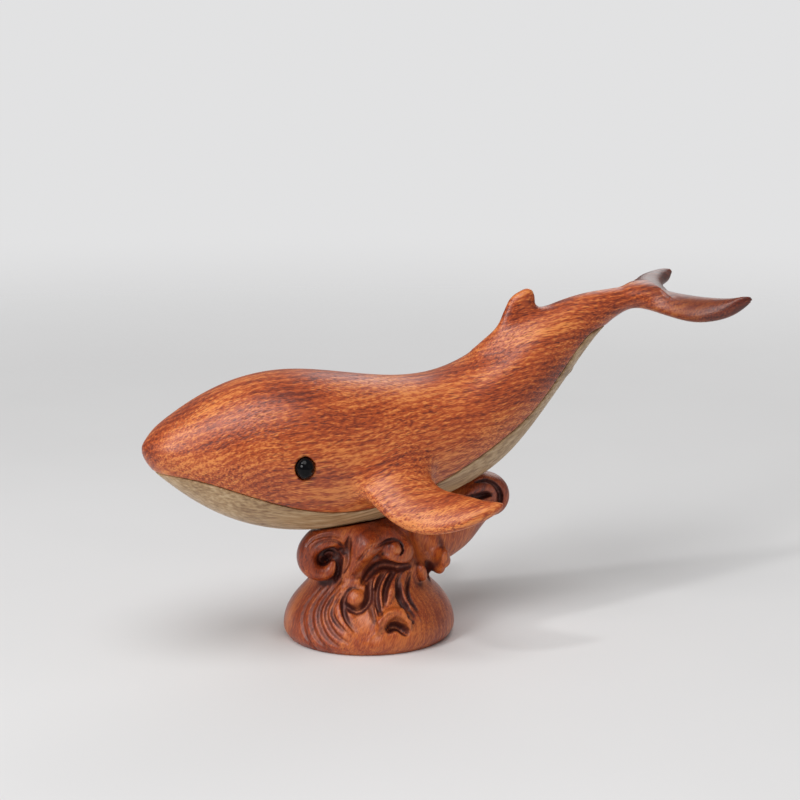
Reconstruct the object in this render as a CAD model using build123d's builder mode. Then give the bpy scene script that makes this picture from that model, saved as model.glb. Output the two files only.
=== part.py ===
"""Carved wooden whale that lifts off a base of curling waves."""

from build123d import *
import os
from math import cos, sin, radians

os.makedirs("parts", exist_ok=True)

# Driving dimensions, in millimetres. The origin is the middle of the foot's underside, +Z is up,
# the whale swims towards -X and its left side faces -Y.

# Whale's body, from the nose to the root of the flukes
body_length = 176.6
body_height = 50.0
body_width = 48.0
nose_reach = 74.6
belly_height = 37.0
tail_rise = 65.8

# Dorsal fin
dorsal_height = 18.8
dorsal_chord = 30.0
dorsal_thickness = 9.0

# Tail flukes
fluke_half_span = 31.2
fluke_sweep = 30.2
fluke_chord = 22.3
fluke_lift = 3.0
fluke_thickness = 7.5

# Pectoral fins, and the dowels that carry them
fin_length = 48.7
fin_chord = 37.0
fin_thickness = 9.0
fin_bow = 2.7
fin_aft_angle = 44
fin_drop_angle = 12
fin_roll_angle = 27
dowel_diameter = 4.0
dowel_length = 18.0

# Eyes: a bead on a peg
eye_diameter = 7.0
eye_proud = 2.2
eye_rim = 1.0
eye_peg_diameter = 2.0
eye_peg_length = 5.0

# Wave base
foot_width = 54.5
foot_depth = 53.0
core_height = 41.0
curl_radius = 5.3
curl_band = 6.6
curl_depth = 10.0

# Pin that stands in the base and enters the whale
pin_diameter = 4.0
pin_length = 34.0
pin_rise = 20.0

# Clearances, and the extra length of a cut
glue_gap = 0.05
pin_clearance = 0.06
seat_gap = 0.3
overrun = 1.0

# Whale's body: along from the nose, centre above the belly, height and width of each section
body_section_shares = [
    (0.008, 0.448, 0.140, 0.167),
    (0.026, 0.442, 0.276, 0.333),
    (0.060, 0.432, 0.458, 0.525),
    (0.105, 0.419, 0.658, 0.708),
    (0.168, 0.406, 0.860, 0.875),
    (0.264, 0.388, 0.996, 1.000),
    (0.377, 0.365, 0.960, 1.000),
    (0.490, 0.365, 0.848, 0.925),
    (0.592, 0.418, 0.780, 0.808),
    (0.683, 0.536, 0.766, 0.650),
    (0.762, 0.691, 0.650, 0.483),
    (0.830, 0.824, 0.456, 0.342),
    (0.887, 0.919, 0.268, 0.258),
    (0.943, 0.971, 0.156, 0.217),
    (1.000, 1.000, 0.088, 0.225),
]
nose_height_share = 0.456

# Belly line, where the red wood meets the pale: along from the nose and height above the belly
belly_line_shares = [
    (-0.010, 0.353),
    (0.060, 0.339),
    (0.139, 0.271),
    (0.241, 0.173),
    (0.354, 0.128),
    (0.502, 0.213),
    (0.638, 0.377),
    (0.728, 0.517),
    (0.799, 0.699),
    (0.853, 0.830),
    (0.909, 0.854),
]

# Dorsal fin from its root up: height, leading edge, chord and thickness of each section
dorsal_section_shares = [
    (0.00, 0.017, 0.980, 1.00),
    (0.14, 0.105, 0.870, 0.94),
    (0.28, 0.205, 0.740, 0.86),
    (0.42, 0.272, 0.610, 0.77),
    (0.56, 0.312, 0.480, 0.67),
    (0.70, 0.355, 0.350, 0.57),
    (0.83, 0.400, 0.297, 0.49),
    (0.93, 0.480, 0.200, 0.36),
    (0.98, 0.550, 0.105, 0.22),
    (1.00, 0.590, 0.035, 0.08),
]
dorsal_root_along_share = 0.638
dorsal_root_height_share = 0.775

# Flukes from the left tip to the right one: out, back of the leading edge, chord, rise and
# thickness, and the tilt of the chord in degrees. The left fluke cups more than the right one.
fluke_section_shares = [
    (-1.000, 0.830, 0.076, 0.78, 0.19, -10),
    (-0.975, 0.750, 0.170, 0.56, 0.43, -18),
    (-0.920, 0.635, 0.300, 0.10, 0.64, -28),
    (-0.800, 0.480, 0.430, -0.45, 0.76, -32),
    (-0.560, 0.300, 0.560, -0.72, 0.84, -22),
    (-0.300, 0.160, 0.690, -0.60, 0.90, -4),
    (0.000, 0.000, 0.920, -0.30, 1.00, 17),
    (0.300, 0.200, 0.680, 0.05, 0.88, 17),
    (0.560, 0.420, 0.500, 0.28, 0.78, 15),
    (0.800, 0.690, 0.400, 0.38, 0.68, 16),
    (0.920, 0.890, 0.320, 0.50, 0.58, 16),
    (0.975, 1.030, 0.200, 0.66, 0.42, 10),
    (1.000, 1.130, 0.096, 0.78, 0.20, 0),
]
fluke_root_along_share = 0.960
fluke_root_height_share = 0.971

# Left pectoral fin: along its axis, shift along the chord, chord, thickness and bow
fin_section_shares = [
    (0.040, 0.215, 0.865, 1.25, -0.30),
    (0.185, 0.055, 0.840, 1.25, 0.00),
    (0.330, -0.080, 0.780, 1.12, 0.37),
    (0.450, -0.190, 0.650, 1.00, 0.78),
    (0.575, -0.250, 0.535, 0.82, 1.00),
    (0.700, -0.240, 0.480, 0.70, 0.78),
    (0.800, -0.205, 0.390, 0.62, 0.56),
    (0.883, -0.160, 0.280, 0.53, 0.33),
    (0.945, -0.100, 0.180, 0.42, 0.19),
]
fin_tip_shares = (1.000, -0.030, 0.05)
fin_root_along_share = 0.366
fin_root_out_share = 0.25
fin_root_height_share = 0.350
dowel_place_shares = (0.040, -0.175, 0.60)

# Place of the eyes, and half the body's width there
eye_along_share = 0.243
eye_height_share = 0.380
eye_flank_share = 0.988

# Core of the wave base: height, shift towards the tail, width and depth of each section
core_section_shares = [
    (0.00, 0.000, 0.940, 0.93),
    (0.04, 0.000, 0.985, 0.98),
    (0.12, 0.000, 1.000, 1.00),
    (0.24, 0.000, 0.945, 0.93),
    (0.36, 0.000, 0.810, 0.79),
    (0.46, 0.010, 0.700, 0.66),
    (0.54, 0.065, 0.780, 0.59),
    (0.63, 0.147, 0.917, 0.56),
    (0.75, 0.200, 1.030, 0.53),
    (0.87, 0.246, 1.110, 0.48),
    (1.00, 0.275, 1.110, 0.40),
]

# Curls of the waves: place of the spiral's middle in the foot and the core, the way it faces and
# how far it leans back, the angle at which it leaves the core and how far it turns, its radius,
# band and depth, and how much wider it starts
curl_shares = [
    (-0.332, -0.100, 0.678, -115, 0, 35, 350, 0.95, 1.00, 1.00, 1.6),
    (0.060, -0.255, 0.768, -115, 0, 205, -400, 0.76, 0.66, 0.72, 2.6),
    (-0.236, -0.296, 0.426, -115, 28, 245, -400, 0.54, 0.42, 0.50, 2.2),
    (-0.036, -0.464, 0.206, -105, 14, 215, -330, 0.50, 0.40, 0.50, 1.8),
    (0.778, 0.000, 0.960, -90, 0, 200, -400, 0.80, 1.00, 1.10, 2.6),
    (-0.060, 0.255, 0.768, 65, 0, 205, -400, 0.76, 0.66, 0.72, 2.6),
    (0.236, 0.296, 0.426, 65, 28, 245, -400, 0.54, 0.42, 0.50, 2.2),
]

# Form of every curl, from its root in the core to its eye: turn, radius, widening, how far it has
# sunk into the core, band and depth
curl_form_shares = [
    (0.00, 1.00, 1.00, 0.42, 2.00, 1.80),
    (0.08, 1.00, 0.55, 0.16, 1.50, 1.40),
    (0.18, 1.00, 0.20, 0.03, 1.18, 1.15),
    (0.32, 1.00, 0.04, 0.00, 1.05, 1.00),
    (0.50, 0.95, 0.00, 0.00, 0.95, 0.90),
    (0.70, 0.82, 0.00, 0.00, 0.78, 0.75),
    (0.86, 0.62, 0.00, 0.00, 0.58, 0.60),
    (1.00, 0.40, 0.00, 0.00, 0.36, 0.45),
]

# Thickness of the floor left behind the eye of a curl, as a share of the depth of the curl
curl_floor_share = 0.25

# Place of the pin, back from the middle of the foot
pin_back_share = 0.05


def along_body(share):
    """X of a place along the body, as a share of its length."""
    return share * body_length - nose_reach


def above_belly(share):
    """Z of a place above the belly's lowest point, as a share of the tail's rise."""
    return belly_height + share * tail_rise


def ellipse_outline(plane, wide, tall):
    """Elliptical section on a plane."""
    with BuildSketch(plane) as outline:
        Ellipse(wide / 2, tall / 2)
    return outline.sketch


def body_outlines(grow):
    """Nose and sections of the body, grown all round by a clearance."""
    outlines = [Vertex(along_body(0) - grow, 0, above_belly(nose_height_share))]
    for along, centre, tall, wide in body_section_shares:
        middle = Vector(along_body(along), 0, above_belly(centre))
        plane = Plane(origin=middle, x_dir=(0, 1, 0), z_dir=(1, 0, 0))
        width = wide * body_width + 2 * grow
        outlines.append(ellipse_outline(plane, width, tall * body_height + 2 * grow))
    return outlines


def dorsal_outlines():
    """Level sections of the dorsal fin, from its root in the back to its tip."""
    root_x = along_body(dorsal_root_along_share)
    root_z = above_belly(dorsal_root_height_share)
    outlines = []
    for height, front, chord, thick in dorsal_section_shares:
        x = root_x + (front + chord / 2) * dorsal_chord
        plane = Plane((x, 0, root_z + height * dorsal_height))
        outlines.append(ellipse_outline(plane, chord * dorsal_chord, thick * dorsal_thickness))
    return outlines


def fluke_outlines():
    """Upright sections of the flukes, from the left tip to the right one."""
    root_x = along_body(fluke_root_along_share)
    root_z = above_belly(fluke_root_height_share)
    outlines = []
    for out, lead, chord, rise, thick, tilt in fluke_section_shares:
        x = root_x + lead * fluke_sweep + chord * fluke_chord / 2
        middle = Vector(x, out * fluke_half_span, root_z + rise * fluke_lift)
        chord_way = Vector(cos(radians(tilt)), 0, -sin(radians(tilt)))
        plane = Plane(origin=middle, x_dir=chord_way, z_dir=(0, 1, 0))
        outlines.append(ellipse_outline(plane, chord * fluke_chord, thick * fluke_thickness))
    return outlines


# Body alone, as the fins and the base meet it
with BuildPart() as body_form:
    loft(sections=body_outlines(0))

# Blank of the whale: body, dorsal fin and flukes carved in one
with BuildPart() as whale_blank:
    loft(sections=body_outlines(0))
    loft(sections=dorsal_outlines())
    loft(sections=fluke_outlines())

# Everything under the belly line, right across the whale
belly_line = [(along_body(along), above_belly(height)) for along, height in belly_line_shares]
with BuildPart() as under_belly_line:
    with BuildSketch(Plane.XZ):
        with BuildLine():
            line = Spline(*belly_line)
            Polyline(line @ 0, ((line @ 0).X, 0), ((line @ 1).X, 0), line @ 1)
        make_face()
    extrude(amount=body_width, both=True)

# Frame of the left pectoral fin: its axis runs back, out and down, its chord rolls with it
fin_root = Vector(
    along_body(fin_root_along_share),
    -fin_root_out_share * body_width,
    above_belly(fin_root_height_share),
)
fin_heading = Vector(
    cos(radians(fin_drop_angle)) * cos(radians(fin_aft_angle)),
    -cos(radians(fin_drop_angle)) * sin(radians(fin_aft_angle)),
    -sin(radians(fin_drop_angle)),
)
fin_level = Vector(sin(radians(fin_aft_angle)), cos(radians(fin_aft_angle)), 0)
fin_upward = fin_heading.cross(fin_level)
fin_chord_way = fin_level * cos(radians(fin_roll_angle)) + fin_upward * sin(radians(fin_roll_angle))
fin_plane = Plane(origin=fin_root, x_dir=fin_chord_way, z_dir=fin_heading)


def fin_section_plane(along, shift, bow):
    """Plane across the left pectoral fin, as shares of its length, chord and bow."""
    middle = fin_plane.from_local_coords((shift * fin_chord, -bow * fin_bow, along * fin_length))
    return Plane(origin=middle, x_dir=fin_plane.x_dir, z_dir=fin_plane.z_dir)


fin_outlines = []
for along, shift, chord, thick, bow in fin_section_shares:
    plane = fin_section_plane(along, shift, bow)
    fin_outlines.append(ellipse_outline(plane, chord * fin_chord, thick * fin_thickness))
fin_tip = Vertex(*fin_section_plane(*fin_tip_shares).origin)

# Dowel half in the flank and half in the fin
dowel_plane = fin_section_plane(*dowel_place_shares)
with BuildPart() as fin_dowel_left:
    with BuildSketch(dowel_plane):
        Circle(dowel_diameter / 2)
    extrude(amount=dowel_length)

with BuildPart() as dowel_bore:
    with BuildSketch(dowel_plane.offset(-glue_gap)):
        Circle(dowel_diameter / 2 + glue_gap)
    extrude(amount=dowel_length + 2 * glue_gap)

with BuildPart() as pectoral_fin_left:
    loft(sections=[*fin_outlines, fin_tip])
    add(body_form.part, mode=Mode.SUBTRACT)
    add(dowel_bore.part, mode=Mode.SUBTRACT)

# Left eye: a bead with a round front, glued into a drilled seat, with a peg behind it
eye_y = eye_diameter / 2 - eye_proud - eye_flank_share * body_width / 2
eye_middle = Vector(along_body(eye_along_share), eye_y, above_belly(eye_height_share))
eye_plane = Plane(origin=eye_middle, z_dir=(0, 1, 0))
with BuildPart() as eye_left:
    with Locations(eye_middle):
        Sphere(eye_diameter / 2)
    split(bisect_by=eye_plane, keep=Keep.BOTTOM)
    with BuildSketch(eye_plane):
        Circle(eye_diameter / 2)
    extrude(amount=eye_rim)
    with BuildSketch(eye_plane.offset(eye_rim)):
        Circle(eye_peg_diameter / 2)
    extrude(amount=eye_peg_length)

with BuildPart() as eye_seat:
    with BuildSketch(eye_plane.offset(eye_rim + glue_gap)):
        Circle(eye_diameter / 2 + glue_gap)
    extrude(amount=-eye_diameter)
    with BuildSketch(eye_plane.offset(eye_rim)):
        Circle(eye_peg_diameter / 2 + glue_gap)
    extrude(amount=eye_peg_length + glue_gap)

# Pin that stands in the base, and the bores around it
pin_plane = Plane((pin_back_share * foot_width, 0, pin_rise))
with BuildPart() as mounting_pin:
    with BuildSketch(pin_plane):
        Circle(pin_diameter / 2)
    extrude(amount=pin_length)
    chamfer(mounting_pin.edges().group_by(Axis.Z)[-1], length=pin_diameter / 8)

with BuildPart() as pin_base_bore:
    with BuildSketch(pin_plane.offset(-glue_gap)):
        Circle(pin_diameter / 2 + glue_gap)
    extrude(amount=core_height)

with BuildPart() as pin_whale_bore:
    with BuildSketch(pin_plane):
        Circle(pin_diameter / 2 + pin_clearance)
    extrude(amount=pin_length + overrun)

# Red part of the whale
with BuildPart() as whale_body:
    add(whale_blank.part)
    add(under_belly_line.part, mode=Mode.SUBTRACT)
    for cut in (dowel_bore.part, eye_seat.part):
        add(cut, mode=Mode.SUBTRACT)
        mirror(cut, about=Plane.XZ, mode=Mode.SUBTRACT)
    add(pin_whale_bore.part, mode=Mode.SUBTRACT)

# Pale board under the head, throat and belly
with BuildPart() as belly_panel:
    add(whale_blank.part)
    add(under_belly_line.part, mode=Mode.INTERSECT)
    add(pin_whale_bore.part, mode=Mode.SUBTRACT)


def wave_curl(shares):
    """Band that rises from the core and rolls up into a spiral, tapering to its eye.

    The path runs through every point of the form, and the band is drawn at every other one.
    """
    back, out, height, facing, lean, start, turn, size, band, depth, widening = shares
    middle = Vector(back * foot_width, out * foot_depth, height * core_height)
    outward = Vector(
        cos(radians(facing)) * cos(radians(lean)),
        sin(radians(facing)) * cos(radians(lean)),
        sin(radians(lean)),
    )
    sideways = Vector(-sin(radians(facing)), cos(radians(facing)), 0)
    curl_plane = Plane(origin=middle, x_dir=sideways, z_dir=outward)
    points = []
    for turned, radius, widened, sunk, *bands in curl_form_shares:
        angle = radians(start + turn * turned)
        reach = size * curl_radius * (radius + widening * widened)
        place = (reach * cos(angle), reach * sin(angle), -sunk * curl_depth)
        points.append(curl_plane.from_local_coords(place))
    with BuildPart() as curl:
        with BuildLine():
            winding = Spline(*points)
        drawn = list(zip(points, curl_form_shares))
        for point, (*path, band_part, depth_part) in drawn[::2] + drawn[-1:]:
            heading = winding % winding.param_at_point(point)
            with BuildSketch(Plane(origin=point, x_dir=outward, z_dir=heading)):
                Ellipse(depth_part * depth * curl_depth / 2, band_part * band * curl_band / 2)
        sweep(path=winding, multisection=True)
        with BuildSketch(curl_plane.offset(-curl_floor_share * depth * curl_depth)):
            Circle(size * curl_radius)
        extrude(amount=curl_floor_share * depth * curl_depth)
    return curl.part


# Space of the belly in the top of the waves
with BuildPart() as belly_seat:
    loft(sections=body_outlines(seat_gap))

with BuildPart() as wave_base:
    loft(sections=[
        ellipse_outline(
            Plane((shift * foot_width, 0, height * core_height)), wide * foot_width, deep * foot_depth
        )
        for height, shift, wide, deep in core_section_shares
    ])
    for shares in curl_shares:
        add(wave_curl(shares))
    add(belly_seat.part, mode=Mode.SUBTRACT)
    add(pin_base_bore.part, mode=Mode.SUBTRACT)

# Right-hand pieces mirror the left-hand ones
with BuildPart() as pectoral_fin_right:
    mirror(pectoral_fin_left.part, about=Plane.XZ)
with BuildPart() as fin_dowel_right:
    mirror(fin_dowel_left.part, about=Plane.XZ)
with BuildPart() as eye_right:
    mirror(eye_left.part, about=Plane.XZ)

pieces = {
    "whale_body": whale_body,
    "belly_panel": belly_panel,
    "pectoral_fin_left": pectoral_fin_left,
    "pectoral_fin_right": pectoral_fin_right,
    "fin_dowel_left": fin_dowel_left,
    "fin_dowel_right": fin_dowel_right,
    "eye_left": eye_left,
    "eye_right": eye_right,
    "wave_base": wave_base,
    "mounting_pin": mounting_pin,
}
for name, piece in pieces.items():
    piece.part.label = name
    export_step(piece.part, f"parts/{name}.step")
    print(name, round(piece.part.volume, 1), piece.part.is_valid, len(piece.solids()))
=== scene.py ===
"""Carved wooden whale resting in a base of curling waves, dressed for rendering."""
import logging
import math
from dataclasses import dataclass
from enum import Enum
from functools import partial
from itertools import product
from typing import Callable

import bpy
import numpy as np
from mathutils import Euler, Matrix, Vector
from mathutils.bvhtree import BVHTree


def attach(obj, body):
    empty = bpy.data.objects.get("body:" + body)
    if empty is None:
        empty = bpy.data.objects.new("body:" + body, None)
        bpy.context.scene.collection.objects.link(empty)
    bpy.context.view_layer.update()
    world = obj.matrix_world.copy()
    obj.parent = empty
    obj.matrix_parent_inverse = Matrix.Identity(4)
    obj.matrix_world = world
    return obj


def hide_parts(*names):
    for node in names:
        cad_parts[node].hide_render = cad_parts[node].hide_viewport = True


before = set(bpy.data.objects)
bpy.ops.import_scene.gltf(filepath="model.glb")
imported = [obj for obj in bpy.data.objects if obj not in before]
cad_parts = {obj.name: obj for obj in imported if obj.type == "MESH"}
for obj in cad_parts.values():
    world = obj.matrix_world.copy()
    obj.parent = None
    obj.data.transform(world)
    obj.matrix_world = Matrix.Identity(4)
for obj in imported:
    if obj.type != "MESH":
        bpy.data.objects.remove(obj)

log = logging.getLogger("carved_whale")

Array = np.ndarray
Socket = bpy.types.NodeSocket
# Gives, for coordinates in millimetres, signed distances that are true close to a surface, or levels
# that are zero on it
Law = Callable[[tuple], Array]

MM = 0.001
# Distance given to all that isn't near a form, in millimetres
FAR = 9.0
# Cells along a block of the rough grid, and how many blocks from the surface are read closely
BLOCK, NEAR_BLOCKS = 4, 2.2
# Spans over which slopes are read, and the least values that are divided by
LEVEL_SPAN, LEAST_LEVEL_SLOPE = 0.04, 0.02
LAW_SPAN, LEAST_SQUARE_SLOPE = 0.05, 0.05
TINY = 1e-6
# Smoothing of a net: rounds and share, then rounds and the offset, in faces, that makes a spike
RELAX_ROUNDS, RELAX_SHARE = 3, 0.6
SPIKE_ROUNDS, SPIKE_OFFSET = 4, 0.36


def smooth_curve(knots: Array, values: Array, at: Array) -> Array:
    """Natural cubic curve through points, carried on straight past its ends.

    Args:
        knots: Rising places of the points.
        values: Values at those places.
        at: Places at which the curve is read.

    Returns:
        The curve's values at those places.
    """
    knots, values = np.asarray(knots, float), np.asarray(values, float)
    steps, count = np.diff(knots), len(knots)
    system, right = np.eye(count), np.zeros(count)
    right[1:-1] = 6 * np.diff(np.diff(values) / steps)
    for row in range(1, count - 1):
        before, after = steps[row - 1 : row + 1]
        system[row, row - 1 : row + 2] = before, 2 * (before + after), after
    bend = np.linalg.solve(system, right)
    held = np.clip(at, knots[0], knots[-1])
    left = np.clip(np.searchsorted(knots, held) - 1, 0, count - 2)
    step, start, end = steps[left], held - knots[left], knots[left + 1] - held
    curve = (bend[left] * end**3 + bend[left + 1] * start**3) / (6 * step)
    curve += (values[left] / step - bend[left] * step / 6) * end
    curve += (values[left + 1] / step - bend[left + 1] * step / 6) * start
    slope = (values[left + 1] - values[left]) / step
    slope += (bend[left + 1] * (3 * start**2 / step - step) - bend[left] * (3 * end**2 / step - step)) / 6
    return curve + slope * (at - held)


def smooth_join(one: Array, other: Array, radius: float) -> Array:
    """Distance to two solids joined with a fillet.

    Args:
        one: Signed distances to the first solid.
        other: Signed distances to the second solid.
        radius: Reach of the fillet.

    Returns:
        Signed distances to the joined solid.
    """
    blend = np.clip(0.5 + 0.5 * (other - one) / radius, 0, 1)
    return other * (1 - blend) + one * blend - radius * blend * (1 - blend)


def smooth_cut(solid: Array, tool: Array, radius: float) -> Array:
    """Signed distance to a solid from which a tool is cut, with its rim rounded by radius."""
    return -smooth_join(-solid, tool, radius)


def only_near(law: Law, low: tuple, high: tuple, at: tuple) -> Array:
    """Distance law read only inside a box, and a plain large distance elsewhere.

    Args:
        law: Signed distance to a form that lies well inside the box.
        low: Lowest corner of the box.
        high: Highest corner of the box.
        at: Coordinates.

    Returns:
        Signed distances.
    """
    at = np.broadcast_arrays(*at)
    here = np.ones(at[0].shape, bool)
    for place, lowest, highest in zip(at, low, high):
        here &= (place > lowest) & (place < highest)
    found = np.full(here.shape, FAR)
    if here.any():
        found[here] = np.minimum(law([place[here] for place in at]), FAR)
    return found


def evened(level: Law, at: tuple) -> Array:
    """Distance to the surface on which a level law is zero.

    Args:
        level: Law that is negative inside the form, zero on its surface and positive outside.
        at: Coordinates.

    Returns:
        Signed distances.
    """
    here = level(at)
    slopes = [
        level([place + LEVEL_SPAN * (k == axis) for k, place in enumerate(at)]) - here for axis in range(3)
    ]
    steep = np.sqrt(sum(slope**2 for slope in slopes)) / LEVEL_SPAN
    return here / np.maximum(steep, LEAST_LEVEL_SLOPE)


def section_level(across: Array, up: Array, knots: Array, wide: Array, tall: Array, held: Array) -> Array:
    """Level in the elliptical sections of a form, zero on their outline.

    Args:
        across: Offset from the section's middle along its width.
        up: Offset from the section's middle along its height.
        knots: Places of the known sections along the form.
        wide: Their half widths.
        tall: Their half heights.
        held: Place along the form at which the section is read.

    Returns:
        Levels that grow about as the distance does.
    """
    wide, tall = smooth_curve(knots, wide**2, held), smooth_curve(knots, tall**2, held)
    wide_held, tall_held = np.maximum(wide, 1e-4), np.maximum(tall, 1e-4)
    inside = np.sqrt(across**2 / wide_held + up**2 / tall_held) - 1
    size = np.minimum(np.sqrt(wide_held), np.sqrt(tall_held))
    past = np.sqrt(across**2 + up**2 + np.maximum(-np.minimum(wide, tall), 0) ** 2) + 0.01
    return np.where(np.minimum(wide, tall) <= 1e-4, past, inside * size)


# Both ends of each edge of a cell
EDGE_CORNERS = [
    ((x, y, z), (x + (axis == 0), y + (axis == 1), z + (axis == 2)))
    for axis in range(3)
    for x, y, z in product((0, 1), repeat=3)
    if (x, y, z)[axis] == 0
]


def sampled(law: Law, low: Array, high: Array, step: float) -> tuple[list, Array]:
    """Distances on a regular grid, read closely only near the surface.

    Args:
        law: Signed distance to the solid.
        low: Lowest corner of the space that holds it.
        high: Highest corner of that space.
        step: Size of a cell.

    Returns:
        Coordinates along the three axes, and the distances.
    """
    blocks = [math.ceil((high[k] - low[k]) / (step * BLOCK)) for k in range(3)]
    axes = [low[k] + step * np.arange(blocks[k] * BLOCK) for k in range(3)]
    middles = [low[k] + step * (BLOCK * np.arange(blocks[k]) + (BLOCK - 1) / 2) for k in range(3)]
    distances = law(np.ix_(*middles))
    for axis in range(3):
        distances = distances.repeat(BLOCK, axis)
    near = np.nonzero(np.abs(distances) < NEAR_BLOCKS * BLOCK * step)
    distances[near] = law([axes[k][near[k]] for k in range(3)])
    return axes, distances


def net_surface(law: Law, low: Array, high: Array, step: float) -> tuple[Array, Array]:
    """Closed net of four-sided faces around the solid of a distance law.

    Args:
        law: Signed distance to the solid.
        low: Lowest corner of the space that holds it.
        high: Highest corner of that space.
        step: Size of a cell.

    Returns:
        Points, and the faces as rows of four point numbers.
    """
    axes, values = sampled(law, low, high, step)
    inside = values < 0
    cells = tuple(size - 1 for size in values.shape)
    held = np.zeros(cells, np.int8)
    for x, y, z in product((0, 1), repeat=3):
        held += inside[x : x + cells[0], y : y + cells[1], z : z + cells[2]]
    mixed = np.argwhere((held > 0) & (held < 8))
    total, crossings = np.zeros((len(mixed), 3)), np.zeros(len(mixed))
    for first, second in EDGE_CORNERS:
        at_first = values[tuple((mixed + first).T)]
        at_second = values[tuple((mixed + second).T)]
        crossed = (at_first < 0) != (at_second < 0)
        share = at_first[crossed] / (at_first[crossed] - at_second[crossed])
        total[crossed] += np.array(first) + share[:, None] * (np.array(second) - np.array(first))
        crossings[crossed] += 1
    points = np.array([axis[0] for axis in axes]) + step * (mixed + total / crossings[:, None])
    number = np.full(cells, -1, np.int64)
    number[tuple(mixed.T)] = np.arange(len(mixed))
    faces = []
    for axis in range(3):
        ahead = np.zeros(3, int)
        ahead[axis] = 1
        one, other = np.roll(ahead, 1), np.roll(ahead, 2)
        lead = inside[tuple(slice(1, size - 1) for size in inside.shape)]
        shifted = inside[tuple(slice(1 + ahead[k], inside.shape[k] - 1 + ahead[k]) for k in range(3))]
        place = np.argwhere(lead != shifted) + 1
        ring = [number[tuple((place - shift).T)] for shift in (0 * one, one, one + other, other)]
        quads = np.stack(ring, axis=1)
        flip = ~inside[tuple(place.T)]
        quads[flip] = quads[flip][:, ::-1]
        faces.append(quads)
    return points, np.concatenate(faces)


def law_slope(law: Law, points: Array, reach: float) -> Array:
    """Gradient of a distance law at points.

    Args:
        law: Signed distance to a solid.
        points: Rows of points.
        reach: Half the span over which the slope is read.

    Returns:
        Rows of gradients.
    """
    slope = np.zeros_like(points)
    for axis in range(3):
        shift = reach * np.eye(3)[axis]
        slope[:, axis] = (law((points + shift).T) - law((points - shift).T)) / (2 * reach)
    return slope


def settle(law: Law, points: Array, rounds: int, most: float) -> Array:
    """Points brought onto the surface of a distance law.

    Args:
        law: Signed distance to the solid.
        points: Rows of points near its surface.
        rounds: How often they are moved.
        most: Largest move in one round.

    Returns:
        Rows of points on the surface.
    """
    for _ in range(rounds):
        slope = law_slope(law, points, LAW_SPAN)
        steep = np.maximum((slope**2).sum(1, keepdims=True), LEAST_SQUARE_SLOPE)
        move = law(points.T)[:, None] * slope / steep
        length = np.linalg.norm(move, axis=1, keepdims=True)
        points = points - move * np.minimum(1, most / np.maximum(length, 1e-9))
    return points


def relax(points: Array, faces: Array, share: float) -> Array:
    """Points drawn towards the middle of their neighbours.

    Args:
        points: Rows of points.
        faces: Rows of four point numbers.
        share: How far they go, from 0 to 1.

    Returns:
        Rows of points.
    """
    total, count = np.zeros_like(points), np.zeros(len(points))
    for corner in range(4):
        here, beyond = faces[:, corner], faces[:, (corner + 1) % 4]
        for axis in range(3):
            total[:, axis] += np.bincount(here, points[beyond, axis], len(points))
            total[:, axis] += np.bincount(beyond, points[here, axis], len(points))
        count += np.bincount(here, minlength=len(points)) + np.bincount(beyond, minlength=len(points))
    return points + share * (total / count[:, None] - points)


def carve(law: Law, low: Array, high: Array, step: float) -> tuple[Array, Array]:
    """Smooth closed mesh of a distance law.

    Args:
        law: Signed distance to the solid, in millimetres.
        low: Lowest corner of the space that holds it.
        high: Highest corner of that space.
        step: Size of a face.

    Returns:
        Points, and the faces as rows of four point numbers.
    """
    points, faces = net_surface(law, low, high, step)
    for _ in range(RELAX_ROUNDS):
        points = settle(law, relax(points, faces, RELAX_SHARE), 1, step)
    points = settle(law, points, 2, step)
    for _ in range(SPIKE_ROUNDS):
        calm = relax(points, faces, 1.0)
        spike = np.linalg.norm(points - calm, axis=1, keepdims=True) > SPIKE_OFFSET * step
        points = np.where(spike, calm, points)
    return points, faces


def mesh_piece(name: str, points: Array, faces: Array) -> bpy.types.Object:
    """Smooth-shaded object from points in millimetres.

    Args:
        name: Name of the piece.
        points: Rows of points in millimetres.
        faces: Rows of point numbers.

    Returns:
        The new object, linked to the scene.
    """
    mesh = bpy.data.meshes.new(name)
    mesh.from_pydata((points * MM).tolist(), [], faces.tolist())
    mesh.update()
    mesh.polygons.foreach_set("use_smooth", np.ones(len(mesh.polygons), bool))
    piece = bpy.data.objects.new(name, mesh)
    bpy.context.scene.collection.objects.link(piece)
    return piece


def in_shares(rows: tuple, sizes: tuple, starts: tuple) -> Array:
    """Columns of a table of shares, each times its size and moved by its start."""
    return (np.array(rows, float) * sizes + starts).T


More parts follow.
